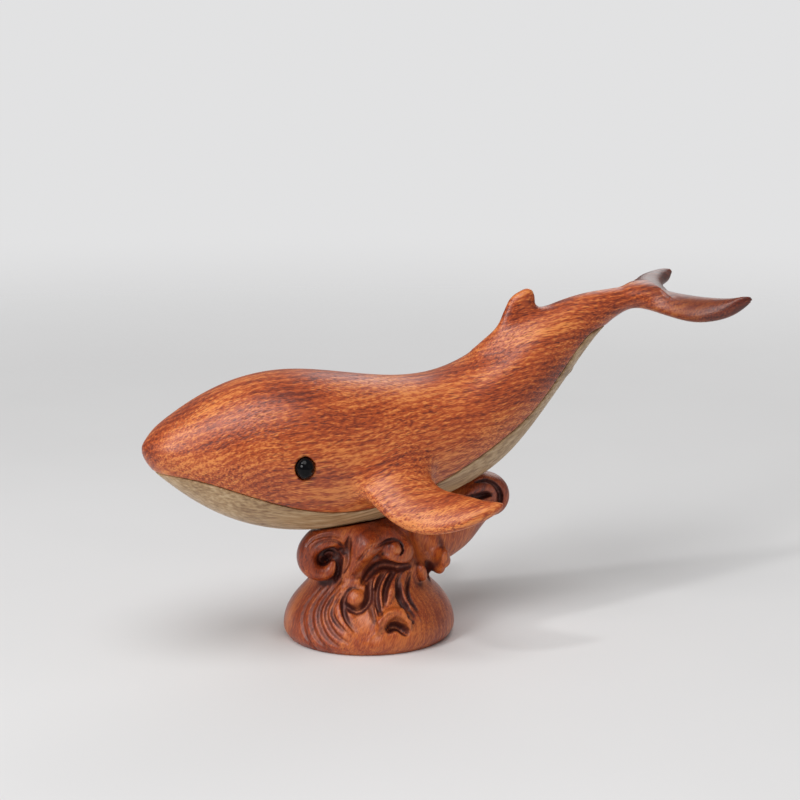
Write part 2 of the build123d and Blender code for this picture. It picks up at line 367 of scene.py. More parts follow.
@dataclass
class Whale:
    """Swimming whale: body, dorsal fin, flukes and pectoral fins carved as one, in two woods.

    Sizes and places are in millimetres, angles in degrees, and the tables are in shares of the sizes.

    Attributes:
        step: Size of a mesh face.
        body_size: Length, height and width of the body.
        nose_reach: How far the nose lies ahead of the base's middle.
        belly_height: Height of the belly's lowest point.
        tail_rise: How far the tail rises above it.
        dorsal_root: Place along and height of the dorsal fin's root.
        dorsal_size: Height, chord and thickness of the dorsal fin.
        fluke_root: Place along and height of the flukes' root.
        fluke_size: Half span, sweep, chord, lift and thickness of the flukes.
        fin_root: Start of the left pectoral fin's axis.
        fin_size: Length, chord, thickness and bow of the pectoral fins.
        fin_turns: Aft, drop and roll angles of the pectoral fins.
        tail_fillet: Fillet of the dorsal fin and the flukes into the body.
        fin_fillet: Fillet of the pectoral fins into the flanks.
        eye: Middle of the left eye's bead.
        bead: Half width, half height and narrowing of the bead.
        bore: Radius, place along and top of the bore for the pin.
        glue_gap: Half of the gap between the two woods.
        rim: Rounding of the rims where they meet.
        body: Place along, middle height, half height and half width of the body's sections.
        belly_line: Place along and height of the line where the two woods meet.
        dorsal: Height, front, chord and thickness of the dorsal fin's sections.
        flukes: Place across, lead, chord, lift, thickness and tilt of the flukes' sections.
        fin: Place along, shift, chord, thickness and bow of the pectoral fins' sections.
    """

    step: float
    body_size: tuple = (176.6, 50.0, 48.0)
    nose_reach: float = 74.6
    belly_height: float = 37.0
    tail_rise: float = 65.8
    dorsal_root: tuple = (38.07, 88.0)
    dorsal_size: tuple = (18.8, 30.0, 9.0)
    fluke_root: tuple = (94.94, 100.9)
    fluke_size: tuple = (31.2, 30.2, 22.3, 3.0, 7.5)
    fin_root: tuple = (-9.96, -12.0, 60.03)
    fin_size: tuple = (48.7, 37.0, 9.0, 2.7)
    fin_turns: tuple = (44, 12, 27)
    tail_fillet: float = 5.0
    fin_fillet: float = 6.0
    eye: tuple = (-31.7, -22.4, 62.0)
    bead: tuple = (3.1, 3.5, 0.12)
    bore: tuple = (2.06, 2.725, 55.0)
    glue_gap: float = 0.04
    rim: float = 0.6
    body: tuple = (
        (0.000, 0.456, 0.000, 0.000), (0.008, 0.448, 0.140, 0.167), (0.026, 0.442, 0.276, 0.333),
        (0.060, 0.432, 0.458, 0.525), (0.105, 0.419, 0.658, 0.708), (0.168, 0.406, 0.860, 0.875),
        (0.264, 0.388, 0.996, 1.000), (0.377, 0.365, 0.960, 1.000), (0.490, 0.365, 0.848, 0.925),
        (0.592, 0.418, 0.780, 0.808), (0.683, 0.536, 0.766, 0.650), (0.762, 0.691, 0.650, 0.483),
        (0.830, 0.824, 0.456, 0.342), (0.887, 0.919, 0.268, 0.258), (0.943, 0.971, 0.156, 0.217),
        (1.000, 1.000, 0.088, 0.225),
    )
    belly_line: tuple = (
        (-0.010, 0.353), (0.060, 0.339), (0.139, 0.271), (0.241, 0.173), (0.354, 0.128), (0.502, 0.213),
        (0.638, 0.377), (0.728, 0.517), (0.799, 0.699), (0.853, 0.830), (0.909, 0.854),
    )
    dorsal: tuple = (
        (0.00, 0.017, 0.980, 1.00), (0.14, 0.105, 0.870, 0.94), (0.28, 0.205, 0.740, 0.86),
        (0.42, 0.272, 0.610, 0.77), (0.56, 0.312, 0.480, 0.67), (0.70, 0.355, 0.350, 0.57),
        (0.83, 0.400, 0.297, 0.49), (0.93, 0.480, 0.200, 0.36), (0.98, 0.550, 0.105, 0.22),
        (1.00, 0.590, 0.035, 0.08),
    )
    flukes: tuple = (
        (-1.000, 0.830, 0.076, 0.78, 0.19, -10), (-0.975, 0.750, 0.170, 0.56, 0.43, -18),
        (-0.920, 0.635, 0.300, 0.10, 0.64, -28), (-0.800, 0.480, 0.430, -0.45, 0.76, -32),
        (-0.560, 0.300, 0.560, -0.72, 0.84, -22), (-0.300, 0.160, 0.690, -0.60, 0.90, -4),
        (0.000, 0.000, 0.920, -0.30, 1.00, 17), (0.300, 0.200, 0.680, 0.05, 0.88, 17),
        (0.560, 0.420, 0.500, 0.28, 0.78, 15), (0.800, 0.690, 0.400, 0.38, 0.68, 16),
        (0.920, 0.890, 0.320, 0.50, 0.58, 16), (0.975, 1.030, 0.200, 0.66, 0.42, 10),
        (1.000, 1.130, 0.096, 0.78, 0.20, 0),
    )
    fin: tuple = (
        (0.040, 0.215, 0.865, 1.25, -0.30), (0.185, 0.055, 0.840, 1.25, 0.00),
        (0.330, -0.080, 0.780, 1.12, 0.37), (0.450, -0.190, 0.650, 1.00, 0.78),
        (0.575, -0.250, 0.535, 0.82, 1.00), (0.700, -0.240, 0.480, 0.70, 0.78),
        (0.800, -0.205, 0.390, 0.62, 0.56), (0.883, -0.160, 0.280, 0.53, 0.33),
        (0.945, -0.100, 0.180, 0.42, 0.19), (1.000, -0.030, 0.000, 0.00, 0.05),
    )

    def __post_init__(self) -> None:
        """Turn the tables of shares into millimetres."""
        length, tall, wide = self.body_size
        starts = (-self.nose_reach, self.belly_height)
        self.body_mm = in_shares(self.body, (length, self.tail_rise, tall / 2, wide / 2), (*starts, 0, 0))
        self.line_mm = in_shares(self.belly_line, (length, self.tail_rise), starts)
        (back, foot), (tall, wide, deep) = self.dorsal_root, self.dorsal_size
        height, front, chord, thick = np.array(self.dorsal).T
        middle = back + wide * (front + chord / 2)
        self.dorsal_mm = (foot + tall * height, middle, wide / 2 * chord, deep / 2 * thick)
        (back, foot), (half_span, sweep, wide, lift, deep) = self.fluke_root, self.fluke_size
        out, lead, chord, rise, thick, tilt = np.array(self.flukes, float).T
        middle, rise = back + sweep * lead + wide / 2 * chord, foot + lift * rise
        self.fluke_mm = (half_span * out, middle, rise, wide / 2 * chord, deep / 2 * thick, np.radians(tilt))
        length, wide, deep, bow = self.fin_size
        self.fin_mm = in_shares(self.fin, (length, wide, wide / 2, deep / 2, bow), (0, 0, 0, 0, 0))
        aft, drop, roll = np.radians(self.fin_turns)
        along = np.array([np.cos(drop) * np.cos(aft), -np.cos(drop) * np.sin(aft), -np.sin(drop)])
        level = np.array([np.sin(aft), np.cos(aft), 0])
        chord_way = level * np.cos(roll) + np.cross(along, level) * np.sin(roll)
        self.fin_axes = (chord_way, np.cross(along, chord_way), along)

    def body_level(self, at: tuple) -> Array:
        """Level of the body alone, without fins.

        Args:
            at: Coordinates.

        Returns:
            Levels.
        """
        x, y, z = at
        place, height, tall, wide = self.body_mm
        level = section_level(y, z - smooth_curve(place, height, x), place, wide, tall, x)
        return np.maximum(level, x - place[-1])

    def body_law(self, at: tuple) -> Array:
        """Signed distance to the body alone, without fins."""
        return evened(self.body_level, at)

    def dorsal_level(self, at: tuple) -> Array:
        """Level of the dorsal fin.

        Args:
            at: Coordinates.

        Returns:
            Levels.
        """
        x, y, z = at
        height, middle, chord, thick = self.dorsal_mm
        held = np.maximum(z, height[0])
        across = x - smooth_curve(height, middle, held)
        level = section_level(across, y, height, chord, thick, held)
        return np.maximum(level, height[0] - 6 - z)

    def fluke_level(self, at: tuple) -> Array:
        """Level of the flukes.

        Args:
            at: Coordinates.

        Returns:
            Levels.
        """
        x, y, z = at
        out, middle, rise, chord, thick, tilt = self.fluke_mm
        turn = smooth_curve(out, tilt, y)
        back, up = x - smooth_curve(out, middle, y), z - smooth_curve(out, rise, y)
        along, across = back * np.cos(turn) - up * np.sin(turn), back * np.sin(turn) + up * np.cos(turn)
        return section_level(along, across, out, chord, thick, y)

    def fin_level(self, at: tuple) -> Array:
        """Level of both pectoral fins: the right one mirrors the left one.

        Args:
            at: Coordinates.

        Returns:
            Levels.
        """
        x, y, z = at
        place = (x - self.fin_root[0], -np.abs(y) - self.fin_root[1], z - self.fin_root[2])
        chordwise, thickwise, along = (sum(p * a for p, a in zip(place, axis)) for axis in self.fin_axes)
        run, shift, chord, thick, bow = self.fin_mm
        held = np.maximum(along, run[0])
        chordwise = chordwise - smooth_curve(run, shift, held)
        thickwise = thickwise + smooth_curve(run, bow, held)
        level = section_level(chordwise, thickwise, run, chord, thick, held)
        return np.maximum(level, run[0] - 3 - along)

    def fins_law(self, at: tuple) -> Array:
        """Signed distance to both pectoral fins."""
        return only_near(partial(evened, self.fin_level), (-32, -56, 34), (46, 56, 74), at)

    def bead_law(self, at: tuple) -> Array:
        """Signed distance to the bead of the left eye, an egg with its narrow end down.

        Args:
            at: Coordinates.

        Returns:
            Signed distances.
        """
        across, deep, up = (place - middle for place, middle in zip(at, self.eye))
        half_width, half_height, narrowing = self.bead
        wide = half_width + narrowing * np.clip(up, -half_height, 0)
        level = np.sqrt((across / wide) ** 2 + (deep / half_height) ** 2 + (up / half_height) ** 2)
        return (level - 1) * half_width

    def blank_law(self, at: tuple) -> Array:
        """Signed distance to the body with its dorsal fin and flukes, in both woods.

        Args:
            at: Coordinates.

        Returns:
            Signed distances.
        """
        x, y, z = at
        solid = self.body_law(at)
        for level, low, high in (
            (self.dorsal_level, (28, -12, 78), (78, 12, 112)),
            (self.fluke_level, (80, -40, 88), (140, 40, 114)),
        ):
            solid = smooth_join(solid, only_near(partial(evened, level), low, high, at), self.tail_fillet)
        solid = smooth_cut(solid, self.bead_law((x, -np.abs(y), z)) - 0.12, 0.45)
        radius, place, top = self.bore
        return np.maximum(solid, -np.maximum(np.sqrt((x - place) ** 2 + y**2) - radius, z - top))

    def above_line(self, at: tuple) -> Array:
        """Distance above the belly line, which drops away behind its last point.

        Args:
            at: Coordinates.

        Returns:
            Distances, below zero under the line.
        """
        x, _, z = at
        place, height = self.line_mm
        held = np.minimum(x, place[-1])
        line = smooth_curve(place, height, held)
        slope = (smooth_curve(place, height, held + 0.1) - line) / 0.1
        return (z - (line - 3 * np.maximum(x - place[-1], 0))) / np.sqrt(1 + slope**2)

    def red_law(self, at: tuple) -> Array:
        """Signed distance to the red part, above the belly line, with the pectoral fins."""
        solid = smooth_cut(self.blank_law(at), self.above_line(at) - self.glue_gap, self.rim)
        return smooth_join(solid, self.fins_law(at), self.fin_fillet)

    def pale_law(self, at: tuple) -> Array:
        """Signed distance to the pale part, under the belly line and clear of the fins."""
        solid = smooth_cut(self.blank_law(at), -self.above_line(at) - self.glue_gap, self.rim)
        return smooth_cut(solid, self.fins_law(at) - 0.1, 0.3)

    def build(self) -> tuple[bpy.types.Object, ...]:
        """Mesh the whale.

        Returns:
            The red part, the pale part, and the beads of the left and right eye.
        """
        middle = np.array(self.eye)
        points, faces = carve(self.bead_law, middle - 5, middle + 5, self.step * 0.6)
        left = mesh_piece("bead_left", points, faces)
        right = mesh_piece("bead_right", points * (1, -1, 1), faces[:, ::-1])
        red = mesh_piece("carved_whale", *carve(self.red_law, (-77, -50, 38), (134, 50, 110), self.step))
        pale = mesh_piece("pale_belly", *carve(self.pale_law, (-77, -27, 34), (90, 27, 96), self.step))
        return red, pale, left, right


class Twin(Enum):
    """How a stroke that is drawn on the near side comes again on the far side."""

    TURNED = (-1, -1)
    MIRRORED = (1, -1)


@dataclass(frozen=True)
class Stroke:
    """Groove or raised band along a line that is drawn in the photograph's frame and laid on the wood.

    Attributes:
        pixels: Points of the line in the frame's pixels, across and down in turn.
        width: Half width of the band, in millimetres.
        height: Height of a raised band, or depth of a groove below zero, in millimetres.
        twin: How the stroke comes again on the far side.
        blunt: Share of the width that its ends keep.
    """

    pixels: tuple
    width: float
    height: float
    twin: Twin = Twin.TURNED
    blunt: float = 0.35

    def laid(self, surface: BVHTree) -> list[Array]:
        """Lay the line on the wood, and its twin on the far side.

        Args:
            surface: Tree of the base's surface, in metres.

        Returns:
            For each line, rows of a point, the way out of the wood, half width and half depth.
        """
        studio = Studio()
        side_x, side_y = self.twin.value
        drawn = np.array(self.pixels, float).reshape(-1, 2)
        knots = np.concatenate([[0], np.cumsum(np.linalg.norm(np.diff(drawn, axis=0), axis=1))])
        at = np.linspace(0, knots[-1], max(9, int(knots[-1] / 5)))
        near, far = [], []
        for across, down in zip(smooth_curve(knots, drawn[:, 0], at), smooth_curve(knots, drawn[:, 1], at)):
            hit, out = surface.ray_cast(Vector(studio.camera_place), studio.sight(across, down))[:2]
            if hit is None:
                continue
            near.append((*(hit / MM), *out))
            hit, out = surface.find_nearest(Vector((hit.x * side_x, hit.y * side_y, hit.z)))[:2]
            far.append((*(hit / MM), *out))
        return [self.profile(np.array(line)) for line in (near, far) if len(line) > 1]

    def worked(self, solid: Array, band: Array) -> Array:
        """Join a raised stroke's band to a solid, or cut a groove's band from it."""
        work, least, growth = (smooth_join, 0.5, 0.4) if self.height > 0 else (smooth_cut, 0.2, 0.7)
        return work(solid, band, least + growth * self.width)

    def profile(self, line: Array) -> Array:
        """Give a laid line its width and depth, fading at both ends.

        Args:
            line: Rows of a point and the way out of the wood.

        Returns:
            Rows of a point inside or above the wood, the way out, half width and half depth.
        """
        out = line[:, 3:]
        for _ in range(3 + int(5 * self.width)):
            out = (np.concatenate([out[:1], out[:-1]]) + out + np.concatenate([out[1:], out[-1:]])) / 3
        out = out / np.linalg.norm(out, axis=1, keepdims=True)
        place = np.linspace(0, 1, len(line))
        fade = np.clip(np.minimum(place, 1 - place) / 0.3, 0, 1)
        fade = self.blunt + (1 - self.blunt) * fade * (2 - fade)
        depth = np.maximum(abs(self.height), self.width) * fade
        lift = np.sign(self.height) * (abs(self.height) * fade - depth)
        return np.column_stack([line[:, :3] + lift[:, None] * out, out, self.width * fade, depth])


def nearer_band(met: tuple, aside: Array, deep: Array, wide: Array, tall: Array) -> tuple[Array, Array]:
    """Keep the nearer of what was met so far and one more stretch of a band of elliptical section.

    Args:
        met: Levels and distances met so far.
        aside: Square of the offset across the band.
        deep: Square of the offset along its depth.
        wide: Its half width.
        tall: Its half depth.

    Returns:
        The nearer levels and distances.
    """
    best, gap = met
    level = np.sqrt(aside / wide**2 + deep / tall**2)
    steep = np.sqrt(aside / wide**4 + deep / tall**4) / np.maximum(level, TINY)
    nearer = level < best
    return np.where(nearer, level, best), np.where(nearer, (level - 1) / np.maximum(steep, TINY), gap)


def band_law(path: Array, at: tuple) -> Array:
    """Signed distance to a band of elliptical section along a path.

    Args:
        path: Rows of a point, the way of the section's depth, half width and half depth.
        at: Coordinates.

    Returns:
        Signed distances.
    """
    met = (np.full(np.shape(at[0]), 99.0),) * 2
    for first, last in zip(path[:-1], path[1:]):
        run = last - first
        off = [at[k] - first[k] for k in range(3)]
        share = np.clip(sum(off[k] * run[k] for k in range(3)) / (run[:3] @ run[:3] + 1e-9), 0, 1)
        away = [off[k] - share * run[k] for k in range(3)]
        deep = sum(away[k] * (first[3 + k] + share * run[3 + k]) for k in range(3)) ** 2
        aside = np.maximum(away[0] ** 2 + away[1] ** 2 + away[2] ** 2 - deep, 0)
        met = nearer_band(met, aside, deep, first[6] + share * run[6], first[7] + share * run[7])
    return met[1]


@dataclass
class WaveBase:
    """Base of curling waves that cradles the whale.

    Sizes and places are in millimetres, angles in degrees, and the tables are in shares of the sizes.

    Attributes:
        step: Size of a mesh face.
        whale: Whale whose belly presses into the base.
        rough_step: Size of a face of the mesh on which strokes are laid.
        spans: Width and depth of the foot, and height of the core.
        curl_radius: Radius of a curl of size 1.
        curl_band: Width of its band.
        curl_depth: Depth of its band.
        curl_floor: Share of the depth that the floor behind a curl's eye fills.
        curl_fillet: Fillet of the curls into the core.
        seat_gap: Gap between the base and the belly.
        seat_flare: How far the seat opens at its sides, and where that starts and is reached.
        bore: Radius, place along and floor of the bore for the pin.
        hollow_reads: Distances at which the hollows of the surface are read, and their weights.
        core: Height, shift, width and depth of the core's sections, as shares.
        curls: Place, heading, lean, start, turn, size, band, depth and widening of each curl.
        curl_form: Turn, radius, widening, sinking, band and depth along every curl.
    """

    step: float
    whale: Whale
    rough_step: float = 0.8
    spans: tuple = (54.5, 53.0, 41.0)
    curl_radius: float = 5.3
    curl_band: float = 6.6
    curl_depth: float = 10.0
    curl_floor: float = 0.25
    curl_fillet: float = 1.4
    seat_gap: float = 0.3
    seat_flare: tuple = (2.2, 9.0, 18.0)
    bore: tuple = (2.05, 2.725, 20.0)
    hollow_reads: tuple = ((0.9, 0.35), (2.0, 0.6), (4.0, 0.6))
    core: tuple = (
        (0.00, 0.000, 0.940, 0.93), (0.04, 0.000, 0.985, 0.98), (0.12, 0.000, 1.000, 1.00),
        (0.24, 0.000, 0.945, 0.93), (0.36, 0.000, 0.810, 0.79), (0.46, 0.010, 0.700, 0.66),
        (0.54, 0.065, 0.780, 0.59), (0.63, 0.147, 0.917, 0.56), (0.75, 0.200, 1.030, 0.53),
        (0.87, 0.246, 1.110, 0.48), (1.00, 0.275, 1.110, 0.40),
    )
    curls: tuple = (
        (-0.332, -0.100, 0.678, -115, 0, 35, 350, 0.95, 1.00, 1.00, 1.6),
        (0.778, 0.000, 0.960, -90, 0, 200, -400, 0.80, 1.00, 1.10, 2.6),
    )
    curl_form: tuple = (
        (0.00, 1.00, 1.00, 0.42, 2.00, 1.80), (0.08, 1.00, 0.55, 0.16, 1.50, 1.40),
        (0.18, 1.00, 0.20, 0.03, 1.18, 1.15), (0.32, 1.00, 0.04, 0.00, 1.05, 1.00),
        (0.50, 0.95, 0.00, 0.00, 0.95, 0.90), (0.70, 0.82, 0.00, 0.00, 0.82, 0.80),
        (0.86, 0.62, 0.00, 0.00, 0.70, 0.72), (1.00, 0.40, 0.00, 0.00, 0.58, 0.60),
    )

    def __post_init__(self) -> None:
        """Start with no strokes laid."""
        self.laid: list[tuple[Stroke, Array]] = []

    def core_level(self, at: tuple) -> Array:
        """Level of the core, open at its ends.

        Args:
            at: Coordinates.

        Returns:
            Levels.
        """
        x, y, z = at
        width, depth, top = self.spans
        height, shift, wide, deep = in_shares(self.core, (top, width, width / 2, depth / 2), (0, 0, 0, 0))
        held = np.clip(z, 0, top)
        return section_level(x - smooth_curve(height, shift, held), y, height, wide, deep, held)

    def curl_law(self, row: tuple, at: tuple) -> Array:
        """Signed distance to one curl and the thin floor behind its eye.

        Args:
            row: Row of the curls' table.
            at: Coordinates.

        Returns:
            Signed distances.
        """
        *middle, facing, lean, start, turn, size, band, depth, widening = row
        facing, lean = math.radians(facing), math.radians(lean)
        outward = np.array([np.cos(facing) * np.cos(lean), np.sin(facing) * np.cos(lean), np.sin(lean)])
        sideways = np.array([-np.sin(facing), np.cos(facing), 0])
        place = [at[k] - middle[k] * self.spans[k] for k in range(3)]
        axes = (sideways, np.cross(outward, sideways), outward)
        across, rise, proud = (sum(p * a for p, a in zip(place, axis)) for axis in axes)
        turned, radius, widened, sunk, bands, depths = np.array(self.curl_form).T
        share = np.linspace(0, 1, 49)
        angle = np.radians(start + turn * share)
        spread = smooth_curve(turned, radius, share) + widening * smooth_curve(turned, widened, share)
        reach = size * self.curl_radius * spread
        path = np.stack([
            reach * np.cos(angle),
            reach * np.sin(angle),
            -self.curl_depth * smooth_curve(turned, sunk, share),
            self.curl_band / 2 * band * smooth_curve(turned, bands, share),
            self.curl_depth / 2 * depth * smooth_curve(turned, depths, share),
        ], axis=1)
        met = (np.full(np.shape(across), 99.0),) * 2
        for first, last in zip(path[:-1], path[1:]):
            run = last[:2] - first[:2]
            share = np.clip(((across - first[0]) * run[0] + (rise - first[1]) * run[1]) / (run @ run), 0, 1)
            here = [first[k] + share * (last[k] - first[k]) for k in range(5)]
            aside = (across - here[0]) ** 2 + (rise - here[1]) ** 2
            met = nearer_band(met, aside, (proud - here[2]) ** 2, here[3], here[4])
        half_floor = self.curl_floor * depth * self.curl_depth / 2
        disc = np.sqrt(across**2 + rise**2) - size * self.curl_radius
        return np.minimum(met[1], np.maximum(disc, np.abs(proud + half_floor) - half_floor))

    def law(self, at: tuple) -> Array:
        """Signed distance to the base with the strokes that are laid so far.

        Args:
            at: Coordinates.

        Returns:
            Signed distances.
        """
        x, y, z = at
        solid = np.maximum(evened(self.core_level, at), z - self.spans[2])
        for row in self.curls:
            middle = np.array(row[:3]) * self.spans
            span = self.curl_radius * row[7] * (1 + row[10]) + 7
            curl = only_near(partial(self.curl_law, row), middle - span, middle + span, at)
            solid = smooth_join(solid, curl, self.curl_fillet)
        for stroke, path in self.laid:
            margin = path[:, 6:].max() + 1.6
            low, high = path[:, :3].min(0) - margin, path[:, :3].max(0) + margin
            solid = stroke.worked(solid, only_near(partial(band_law, path), low, high, at))
        most, start, end = self.seat_flare
        flare = most * np.clip((np.abs(y) - start) / (end - start), 0, 1) ** 1.5
        belly = only_near(self.whale.body_law, (-60, -27, 33), (75, 27, 60), at)
        solid = smooth_cut(solid, belly - self.seat_gap - flare, 0.8)
        radius, place, foot = self.bore
        bore = np.maximum(np.sqrt((x - place) ** 2 + y**2) - radius, foot - z)
        return np.maximum(np.maximum(solid, -bore), -z)

    def build(self) -> bpy.types.Object:
        """Mesh the base and cut its strokes.

        Returns:
            The base, with how hollow it is at each point, from which shade is painted into the grooves:
            above zero in grooves, below on ridges.
        """
        space = (-31, -30, -1), (56, 30, 52)
        for strokes in STROKES:
            points, faces = net_surface(self.law, *space, self.rough_step)
            points = settle(self.law, relax(points, faces, RELAX_SHARE), 1, self.rough_step)
            surface = BVHTree.FromPolygons((points * MM).tolist(), faces.tolist())
            self.laid += [(stroke, path) for stroke in strokes for path in stroke.laid(surface)]
        points, faces = carve(self.law, *space, self.step)
        piece = mesh_piece("carved_waves", points, faces)
        out = law_slope(self.law, points, 0.1)
        out /= np.maximum(np.linalg.norm(out, axis=1, keepdims=True), 0.1)
        # How hollow each point is, read from the distance law like occlusion; the finish paints shade into
        # the grooves from it
        hollow = sum(
            weight * np.clip(1 - self.law((points + reach * out).T) / reach, -1, 1)
            for reach, weight in self.hollow_reads
        )
        shade = piece.data.attributes.new("hollow", "FLOAT", "POINT")
        shade.data.foreach_set("value", np.clip(hollow, -1, 1))
        return piece


class Nodes:
    """Node tree of a material or a world, under construction."""

    def __init__(self, owner: bpy.types.Material | bpy.types.World) -> None:
        """Start with an empty tree.

        Args:
            owner: Material or world that the tree belongs to.
        """
        owner.use_nodes = True
        self.owner, self.tree = owner, owner.node_tree
        self.tree.nodes.clear()

    def add(self, kind: str, inputs: dict | None = None, **settings: object) -> bpy.types.Node:
        """Add a node.

        Args:
            kind: Type of the node, without its ShaderNode prefix.
            inputs: Value or linked socket for each input, by name or number.
            settings: Values of the node's own properties.

        Returns:
            The new node.
        """
        node = self.tree.nodes.new("ShaderNode" + kind)
        for name, value in settings.items():
            setattr(node, name, value)
        for name, value in (inputs or {}).items():
            socket = node.inputs[name]
            if isinstance(value, Socket):
                self.tree.links.new(value, socket)
            else:
                socket.default_value = value
        return node

    def math(self, operation: str, one: object, other: object = 0.0) -> Socket:
        """Result of a sum on two values or sockets."""
        return self.add("Math", {0: one, 1: other}, operation=operation).outputs[0]

    def scaled(self, value: Socket, weight: float) -> Socket:
        """How far a value lies above one half, times a weight."""
        return self.math("MULTIPLY", self.math("SUBTRACT", value, 0.5), weight)

    def span(self, value: object, low: float, high: float, to_low: float, to_high: float) -> Socket:
        """Value carried smoothly from one span to another."""
        ends = {"Value": value, "From Min": low, "From Max": high, "To Min": to_low, "To Max": to_high}
        return self.add("MapRange", ends, interpolation_type="SMOOTHSTEP").outputs[0]

    def mix(self, share: object, one: object, other: object, blend: str = "MIX") -> Socket:
        """Mix of two colours."""
        return self.add("Mix", {0: share, 6: one, 7: other}, data_type="RGBA", blend_type=blend).outputs[2]

    def noise(self, where: Socket, stretch: tuple, detail: float, seed: float) -> Socket:
        """Noise over stretched coordinates.

        Args:
            where: Coordinates.
            stretch: Features per millimetre, or per metre, along each axis.
            detail: Number of finer octaves.
            seed: Shift that makes the noise differ from the others.

        Returns:
            Values about one half.
        """
        place = {"Vector": where, "Location": (seed, seed, seed), "Scale": stretch}
        place = self.add("Mapping", place).outputs[0]
        return self.add("TexNoise", {"Vector": place, "Scale": 1.0, "Detail": detail}).outputs["Fac"]


class GrainWay(Enum):
    """Way in which the fibres of a piece of wood run."""

    LENGTHWISE = (0.0, math.radians(6), 0.0)
    UPRIGHT = (0.0, math.radians(72), 0.0)


